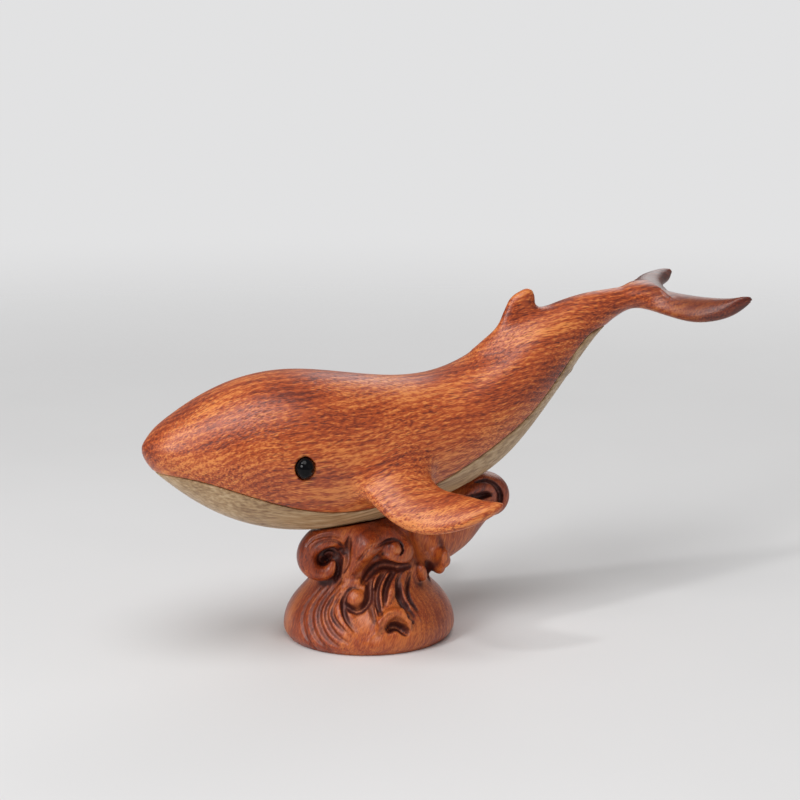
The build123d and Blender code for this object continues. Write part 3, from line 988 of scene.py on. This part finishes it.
@dataclass(frozen=True)
class Wood:
    """Oiled wood with growth rings, ribbons, fibres and pores.

    Attributes:
        name: Name of the material.
        dark: Colour of the dark ribbons.
        middle: Main colour.
        light: Colour of the light ribbons.
        way: Way in which the fibres run.
        pores: Strength of the dark pores.
        rings: Strength of the growth rings.
        zones: Strength of the broad light and dark zones.
        fleck: Strength of the short light and dark flecks.
        streak: Strength of the long light and dark streaks.
        threads: Strength of the fine long lines.
        roughness: Roughness of the oiled surface.
        coat: Weight of the oil film.
        painted_hollow_shade: How much shade is painted into the grooves and hollows; when set, the ridges
            are also made lighter.
        tail: How much darker the wood is made towards the tail.
    """

    name: str
    dark: tuple
    middle: tuple
    light: tuple
    way: GrainWay
    pores: float = 0.5
    rings: float = 0.10
    zones: float = 0.42
    fleck: float = 1.0
    streak: float = 1.0
    threads: float = 0.0
    roughness: float = 0.4
    coat: float = 0.2
    painted_hollow_shade: float = 0.0
    tail: float = 0.0

    def material(self) -> bpy.types.Material:
        """Make the material.

        Returns:
            The material, with its colour, gloss and relief from nodes.
        """
        n = Nodes(bpy.data.materials.new(self.name))
        place = n.add("TexCoord").outputs["Object"]
        in_mm = n.add("Mapping", {"Vector": place, "Rotation": self.way.value, "Scale": (1000, 1000, 1000)})
        drift = n.add("TexNoise", {"Vector": in_mm.outputs[0], "Scale": 0.025, "Detail": 1.0})
        shift = n.add("VectorMath", {0: drift.outputs["Color"], 1: (3.0, 9.0, 9.0)}, operation="MULTIPLY")
        warped = n.add("VectorMath", {0: in_mm.outputs[0], 1: shift.outputs[0]}).outputs[0]
        patches = n.noise(warped, (0.020, 0.045, 0.045), 2.0, 3.0)
        ribbons = n.noise(warped, (0.012, 0.16, 0.16), 2.0, 7.0)
        flecks = n.noise(warped, (0.48, 2.70, 2.70), 2.0, 11.0)
        dashes = n.noise(warped, (0.40, 1.90, 1.90), 1.0, 29.0)
        fibres = n.noise(warped, (0.07, 2.4, 2.4), 2.0, 13.0)
        threads = n.noise(warped, (0.018, 0.95, 0.95), 1.0, 37.0)
        cells = n.add("Mapping", {"Vector": warped, "Scale": (0.24, 1.7, 1.7)})
        spots = n.add("TexVoronoi", {"Vector": cells.outputs[0], "Scale": 1.0, "Randomness": 1.0})
        thinning = n.span(n.noise(warped, (0.04, 0.2, 0.2), 1.0, 17.0), 0.38, 0.62, 0.1, 1.0)
        pores = n.math("MULTIPLY", n.span(spots.outputs["Distance"], 0.14, 0.44, 1.0, 0.0), thinning)
        pith = n.add("Mapping", {"Vector": warped, "Location": (0.0, 38.0, -21.0)}).outputs[0]
        waves = {"Vector": pith, "Scale": 0.16, "Distortion": 5.0, "Detail": 2.0, "Detail Scale": 0.35}
        rings = n.add("TexWave", waves, wave_type="RINGS", rings_direction="X").outputs["Fac"]
        total = n.scaled(ribbons, 0.34 * self.streak)
        for value, weight in (
            (patches, self.zones), (flecks, 0.36 * self.fleck), (dashes, 0.20 * self.fleck),
            (threads, self.threads), (rings, self.rings),
        ):
            total = n.math("ADD", total, n.scaled(value, weight))
        ramp = n.add("ValToRGB", {"Fac": n.math("ADD", total, 0.5)})
        ends = ramp.color_ramp.elements
        ends[0].position, ends[0].color = 0.39, (*self.dark, 1)
        ends[1].position, ends[1].color = 0.61, (*self.light, 1)
        ends.new(0.50).color = (*self.middle, 1)
        share = n.math("MULTIPLY", pores, self.pores)
        colour = n.mix(share, ramp.outputs[0], (0.30, 0.16, 0.10, 1), "MULTIPLY")
        gloss = n.span(patches, 0.3, 0.7, self.roughness - 0.05, self.roughness + 0.07)
        gloss = n.math("ADD", gloss, n.math("MULTIPLY", pores, 0.15))
        # Darker towards the tail
        if self.tail:
            along = n.add("SeparateXYZ", {"Vector": place}).outputs["X"]
            share = n.span(along, 0.092, 0.110, 0.0, self.tail)
            colour = n.mix(share, colour, (0.33, 0.23, 0.20, 1), "MULTIPLY")
        # Painted shade: the grooves and hollows are darkened by how hollow the base is there
        if self.painted_hollow_shade:
            hollow = n.add("Attribute", attribute_name="hollow").outputs["Fac"]
            share = n.math("POWER", n.span(hollow, 0.0, 1.0, 0.0, 1.0), 1.5)
            share = n.math("MULTIPLY", share, self.painted_hollow_shade)
            colour = n.mix(share, colour, (0.16, 0.06, 0.045, 1), "MULTIPLY")
            gloss = n.math("ADD", gloss, n.math("MULTIPLY", share, 0.3))
            # The ridges are made lighter
            share = n.span(hollow, -0.9, -0.15, 0.22, 0.0)
            colour = n.mix(share, colour, (0.62, 0.24, 0.08, 1))
        relief = n.math("MULTIPLY", fibres, 0.3)
        for value, weight in ((pores, -0.5), (flecks, 0.7), (rings, 0.15)):
            relief = n.math("ADD", relief, n.math("MULTIPLY", value, weight))
        bump = n.add("Bump", {"Height": relief, "Strength": 0.4, "Distance": 0.0003})
        shader = n.add("BsdfPrincipled", {
            "Base Color": colour, "Roughness": gloss, "Normal": bump.outputs[0],
            "Specular IOR Level": 0.5, "Coat Weight": self.coat, "Coat Roughness": 0.34,
        })
        n.add("OutputMaterial", {"Surface": shader.outputs[0]})
        return n.owner


@dataclass(frozen=True)
class PolishedStone:
    """Black polished bead with faint clouding.

    Attributes:
        name: Name of the material.
        colour: Main colour.
        cloud: Colour of the clouding.
    """

    name: str
    colour: tuple
    cloud: tuple

    def material(self) -> bpy.types.Material:
        """Make the material.

        Returns:
            The material, with its clouding and fine scuffs from nodes.
        """
        n = Nodes(bpy.data.materials.new(self.name))
        place = n.add("TexCoord").outputs["Object"]
        in_mm = n.add("Mapping", {"Vector": place, "Scale": (1000, 1000, 1000)}).outputs[0]
        clouds = n.noise(in_mm, (0.5, 0.5, 0.5), 3.0, 5.0)
        scuffs = n.noise(in_mm, (2.0, 2.0, 2.0), 2.0, 9.0)
        colour = n.mix(n.span(clouds, 0.4, 0.7, 0.0, 1.0), (*self.colour, 1), (*self.cloud, 1))
        shader = n.add("BsdfPrincipled", {
            "Base Color": colour, "Roughness": n.span(scuffs, 0.3, 0.7, 0.05, 0.12),
            "Specular IOR Level": 0.14,
        })
        n.add("OutputMaterial", {"Surface": shader.outputs[0]})
        return n.owner


@dataclass
class Studio:
    """Pale floor, soft lamps and the camera.

    Attributes:
        camera_place: Place of the camera.
        camera_turns: Turns of the camera in degrees.
        focal_length: Focal length, in millimetres.
        sensor_width: Width of the sensor, in millimetres.
        frame_width: Width and height of the frame, in pixels.
        floor_radius: Radius of the floor, in millimetres.
        background: Colour behind the floor.
        lamps: Name, place, size and power of each lamp.
    """

    camera_place: tuple = (-0.2874, -0.6163, 0.2209)
    camera_turns: tuple = (77.933, 0.0, -25.836)
    focal_length: float = 100.0
    sensor_width: float = 36.0
    frame_width: float = 800.0
    floor_radius: float = 1700.0
    background: tuple = (0.76, 0.76, 0.765, 1)
    lamps: tuple = (
        ("key_lamp", (-0.27, -0.42, 1.27), 0.95, 9.0),
        ("side_lamp", (-1.10, -0.50, 0.60), 0.50, 6.0),
        ("fill_lamp", (0.90, -1.30, 0.60), 1.20, 0.8),
        ("rim_lamp", (0.95, 0.95, 0.70), 0.80, 3.0),
        ("catch_lamp", (-0.83, -0.18, 1.13), 0.14, 2.8),
    )

    def turned(self) -> Euler:
        """Turns of the camera, in radians."""
        return Euler([math.radians(turn) for turn in self.camera_turns])

    def sight(self, across: float, down: float) -> Vector:
        """Way in which the camera sees a place in its frame.

        Args:
            across: Pixels from the left.
            down: Pixels from the top.

        Returns:
            The way out of the camera, of length 1.
        """
        reach, middle = self.focal_length / self.sensor_width * self.frame_width, self.frame_width / 2
        way = Vector(((across - middle) / reach, (middle - down) / reach, -1.0))
        return (self.turned().to_matrix() @ way).normalized()

    def build(self) -> None:
        """Set the floor, the lamps, the world and the camera."""
        self.floor()
        for name, place, size, power in self.lamps:
            lamp = bpy.data.lights.new(name, "AREA")
            lamp.shape, lamp.size, lamp.energy = "DISK", size, power
            carrier = bpy.data.objects.new(name, lamp)
            carrier.location = place
            aim = Vector((0.0, 0.0, 0.06)) - Vector(place)
            carrier.rotation_euler = aim.to_track_quat("-Z", "Y").to_euler()
            bpy.context.scene.collection.objects.link(carrier)
        self.world()
        lens = bpy.data.cameras.new("studio_camera")
        lens.lens, lens.sensor_width, lens.clip_start = self.focal_length, self.sensor_width, 0.01
        camera = bpy.data.objects.new("studio_camera", lens)
        camera.location = self.camera_place
        camera.rotation_euler = self.turned()
        bpy.context.scene.collection.objects.link(camera)
        bpy.context.scene.camera = camera
        bpy.context.scene.view_settings.view_transform = "Standard"

    def floor(self) -> None:
        """Lay the floor."""
        angle = np.linspace(0, 2 * math.pi, 96, endpoint=False)
        rim = self.floor_radius * np.stack([np.cos(angle), np.sin(angle), 0 * angle], axis=1)
        floor = mesh_piece("floor", rim, np.arange(96)[None, :])
        n = Nodes(bpy.data.materials.new("pale_floor"))
        place = n.add("TexCoord").outputs["Object"]
        grey = n.noise(place, (6.0, 6.0, 6.0), 3.0, 2.0)
        colour = n.mix(n.span(grey, 0.3, 0.7, 0.0, 1.0), (0.74, 0.74, 0.745, 1), self.background)
        shader = n.add("BsdfPrincipled", {"Base Color": colour, "Roughness": 0.8, "Specular IOR Level": 0.2})
        far = n.add("VectorMath", {0: place}, operation="LENGTH").outputs["Value"]
        clear = n.add("BsdfTransparent")
        shares = {0: n.span(far, 0.24, 0.95, 0.0, 1.0), 1: shader.outputs[0], 2: clear.outputs[0]}
        n.add("OutputMaterial", {"Surface": n.add("MixShader", shares).outputs[0]})
        floor.data.materials.append(n.owner)

    def world(self) -> None:
        """Light the room evenly, with a pale background."""
        bpy.context.scene.world = bpy.data.worlds.new("studio")
        n = Nodes(bpy.context.scene.world)
        seen = n.add("LightPath").outputs["Is Camera Ray"]
        light = n.add("Background", {0: (1.0, 0.98, 0.96, 1), 1: 0.27}).outputs[0]
        shown = n.add("Background", {0: self.background, 1: 1.0}).outputs[0]
        n.add("OutputWorld", {0: n.add("MixShader", {0: seen, 1: light, 2: shown}).outputs[0]})


MASSES = (
    # Mass and dome of the near crest
    Stroke((347, 577, 352, 563, 362, 551, 374, 541, 387, 535, 398, 537), 3.9, 3.8),
    Stroke((392, 549, 400, 550), 4.2, 4.0, blunt=1.0),
    # Ball of the foot curl and the wave that wraps over it
    Stroke((352, 594, 356, 598), 3.0, 2.1, blunt=1.0),
    Stroke((351, 633, 342, 621, 338, 607, 340, 592, 348, 583, 358, 582, 366, 589), 1.5, 1.1),
    # Toe curl
    Stroke((377, 634, 381, 623, 388, 616, 397, 613, 405, 617, 409, 628), 1.7, 2.6),
    # Drops under the back crest
    Stroke((419, 566, 420, 576), 1.7, 3.0, blunt=0.9),
    Stroke((437, 553, 439, 558), 3.0, 4.4, blunt=1.0),
    Stroke((436, 563, 436, 575), 2.0, 3.4, blunt=0.9),
)
FOLDS = (
    # Folds that rise to the waist
    Stroke((383, 568, 375, 580, 372.5, 592, 373, 605, 376, 617, 380, 629), 0.8, 0.9),
    Stroke((391, 568, 382, 582, 380, 594, 382, 606), 0.8, 0.8),
    Stroke((405, 566, 398, 577, 393, 588, 389, 601), 1.4, 1.2),
    Stroke((406, 574, 402, 588, 405, 600, 412, 611, 419, 620), 0.8, 0.8),
    # Knob and lip of the near crest, and the rim of the front scroll
    Stroke((395, 547, 397, 549), 1.7, 1.3, blunt=1.0),
    Stroke((407, 542, 411, 551, 407, 559, 396, 559.5, 385, 555), 1.2, 0.8),
    Stroke((318, 553, 323, 547.5, 331, 545.5, 339, 548.5, 343, 556), 0.7, 0.5, Twin.MIRRORED),
    # Inner scroll of the back crest
    Stroke((468, 494, 477, 488, 487, 487, 494, 492, 495, 500), 1.4, 0.8, Twin.MIRRORED),
)
GROOVES = (
    # Hollow of the front scroll and the arches over it
    Stroke((324, 561, 328, 555.5, 335, 555), 1.5, -3.4, Twin.MIRRORED, 0.7),
    Stroke((335, 555, 339, 562, 338.5, 571, 335, 580), 0.8, -2.0, Twin.MIRRORED, 0.6),
    Stroke((310, 554, 315, 546, 324, 541.5, 333, 541, 341, 544.5, 345.5, 552), 0.5, -0.6, Twin.MIRRORED),
    Stroke((306, 547, 313, 539.5, 324, 536, 335, 536, 344, 540), 0.5, -0.45, Twin.MIRRORED),
    Stroke((350, 537, 347.5, 549, 347.5, 560, 343, 572), 0.9, -1.0),
    # Slit, hollow and overhang of the near crest
    Stroke((376, 548, 382, 544.5, 389, 541, 396, 540, 401, 542), 0.6, -0.8),
    Stroke((400, 541.5, 402.5, 546, 403, 551, 400.5, 556), 0.55, -1.5),
    Stroke((363, 583, 369, 574, 377, 567, 387, 565, 398, 567, 409, 566), 1.5, -2.4),
    Stroke((357, 563, 363, 556, 368, 550, 375, 545), 0.5, -0.6),
    # Foot curl: the groove that winds into it and the hollow under it
    Stroke((354, 630, 347, 620, 343.5, 608, 344.5, 597, 348, 590, 353, 587, 358, 588.5), 0.8, -1.2),
    Stroke((347, 606.5, 355, 610.5, 364, 607, 369, 598, 369, 586), 1.1, -2.2, blunt=0.6),
    # Trough beside it
    Stroke((358, 608, 361, 619, 367, 630, 376, 640), 3.0, -0.9, blunt=0.1),
    # Hollow and line of the toe curl
    Stroke((389.5, 629.5, 394.5, 626, 400.5, 627, 406, 632.5), 1.5, -3.0, blunt=0.6),
    Stroke((381.5, 633, 382.5, 624, 387, 616.5, 396, 613.5), 0.5, -0.45),
    # Between the folds
    Stroke((374, 572, 369.5, 585, 369.5, 600, 371.5, 612, 376, 626), 0.9, -1.3),
    Stroke((387, 570, 379, 582, 376.5, 594, 377.5, 606, 382, 616), 0.75, -1.2),
    Stroke((396, 569, 388.5, 581, 385, 592, 384.5, 605), 0.7, -1.0),
    Stroke((403, 570, 398, 584, 399.5, 598, 406, 609, 413, 622), 0.9, -1.6),
    Stroke((411, 573, 407, 588, 409.5, 600, 418, 611), 0.85, -1.1),
    # Deep recess between the near crest and the back crest
    Stroke((420, 528, 427, 543, 430, 555), 4.0, -4.2, blunt=0.7),
    # Flow lines on the foot
    Stroke((320, 588, 309, 601, 303, 614, 303.5, 629, 310, 643, 320, 652), 0.85, -0.7),
    Stroke((327, 588, 317, 600, 311.5, 613, 312.5, 628, 320, 642, 330, 650), 0.85, -0.75),
    Stroke((333.5, 588, 324, 600, 319, 613, 321, 627, 328, 639, 339, 647), 0.8, -0.8),
    Stroke((339, 588, 331, 600, 326, 612, 328.5, 624, 336, 635, 347, 643), 0.75, -0.8),
    Stroke((341, 594, 335, 603, 332, 612, 336, 622, 346, 632), 0.65, -0.7),
    # Groove round the inner scroll of the back crest, and the gap between the drops
    Stroke((476, 482, 488, 480.5, 497, 487, 500.5, 496, 499, 506), 0.8, -1.6, Twin.MIRRORED),
    Stroke((429, 562, 429, 578), 0.9, -1.8, blunt=0.7),
)
STROKES = (MASSES, FOLDS, GROOVES)
RED_WOOD = Wood(
    "oiled_red_wood", (0.15, 0.016, 0.003), (0.45, 0.073, 0.011), (0.76, 0.25, 0.058), GrainWay.LENGTHWISE,
    pores=0.75, rings=0.06, zones=0.38, streak=0.8, roughness=0.38, coat=0.24, tail=1.0,
)
PALE_WOOD = Wood(
    "pale_wood", (0.26, 0.14, 0.060), (0.45, 0.285, 0.140), (0.60, 0.43, 0.25), GrainWay.LENGTHWISE,
    pores=0.3, rings=0.0, zones=0.08, threads=0.42, fleck=0.2, streak=0.7, roughness=0.42, coat=0.1,
)
BASE_WOOD = Wood(
    "dark_red_wood", (0.14, 0.015, 0.003), (0.34, 0.051, 0.008), (0.58, 0.150, 0.028), GrainWay.UPRIGHT,
    pores=0.5, rings=0.04, fleck=0.75, roughness=0.33, coat=0.18, painted_hollow_shade=1.0,
)
DOWEL_WOOD = Wood(
    "bare_dowel_wood", (0.44, 0.28, 0.14), (0.56, 0.39, 0.22), (0.66, 0.49, 0.30), GrainWay.UPRIGHT,
    pores=0.3, rings=0.05, fleck=0.5, roughness=0.6, coat=0.0,
)
BEAD = PolishedStone("polished_black_bead", (0.002, 0.002, 0.003), (0.004, 0.004, 0.004))


def dress(piece: bpy.types.Object, finish: bpy.types.Material) -> None:
    """Give a piece one finish all over."""
    piece.data.materials.clear()
    piece.data.materials.append(finish)


def main() -> None:
    """Build, dress and place every piece."""
    logging.basicConfig(level=logging.INFO, format="%(name)s: %(message)s")
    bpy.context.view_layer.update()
    Studio().build()
    log.info("studio set")
    whale = Whale(step=0.5)
    red, pale, left, right = whale.build()
    dress(red, RED_WOOD.material())
    dress(pale, PALE_WOOD.material())
    log.info("whale carved: %d and %d points", len(red.data.vertices), len(pale.data.vertices))
    base = WaveBase(step=0.34, whale=whale).build()
    dress(base, BASE_WOOD.material())
    log.info("waves carved: %d points", len(base.data.vertices))
    for piece, body, nodes, slot in (
        (red, "whale", ("whale_body", "pectoral_fin_left", "pectoral_fin_right"), "red_wood"),
        (pale, "whale", ("belly_panel",), "pale_wood"),
        (left, "whale", ("eye_left",), "eye_black"),
        (right, "whale", ("eye_right",), "eye_black"),
        (base, "base", ("wave_base",), "base_wood"),
    ):
        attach(piece, body)
        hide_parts(*nodes)
    bead = BEAD.material()
    dress(left, bead)
    dress(right, bead)
    for name in ("mounting_pin", "fin_dowel_left", "fin_dowel_right"):
        dress(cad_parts[name], DOWEL_WOOD.material())
    log.info("beads, pin and dowels dressed")


if __name__ == "__main__":
    main()
